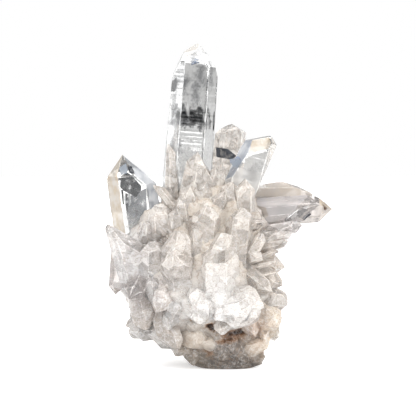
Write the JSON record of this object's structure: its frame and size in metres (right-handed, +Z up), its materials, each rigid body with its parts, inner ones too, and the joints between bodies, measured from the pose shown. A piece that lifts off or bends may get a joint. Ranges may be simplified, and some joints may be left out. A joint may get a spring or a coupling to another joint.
{
  "type": "quartz crystal cluster",
  "caption": "Cluster of clear hexagonal quartz points and milky druse grown on a stained quartz matrix, standing on its flat cut foot.",
  "frame": {"origin": "middle of the flat cut foot that the cluster stands on", "axes": "+Z up through the foot and along the height, -Y towards the front of the cluster, +X to its right seen from the front"},
  "size_m": [0.071, 0.0576, 0.1005],
  "materials": {
    "clear_rock_crystal": "glassy natural faces",
    "smoky_clear_quartz": "glassy natural faces, faintly smoky",
    "milky_quartz": "waxy, milky natural faces",
    "stained_quartz_matrix": "milky druse over rough stained quartz"
  },
  "bodies": {
    "root": {"main_point": "clear_rock_crystal", "left_point": "clear_rock_crystal", "lower_left_point": "smoky_clear_quartz", "low_left_prism": "smoky_clear_quartz", "knob_crystal": "smoky_clear_quartz", "arched_stub": "clear_rock_crystal", "back_point": "clear_rock_crystal", "blade_crystal": "clear_rock_crystal", "right_group": "smoky_clear_quartz", "cream_crystal": "milky_quartz", "left_front_crystal": "milky_quartz", "front_group": "milky_quartz", "rear_left_point": "clear_rock_crystal", "rear_right_point": "clear_rock_crystal", "rear_low_point": "milky_quartz", "matrix": "stained_quartz_matrix"}
  },
  "joints": []
}
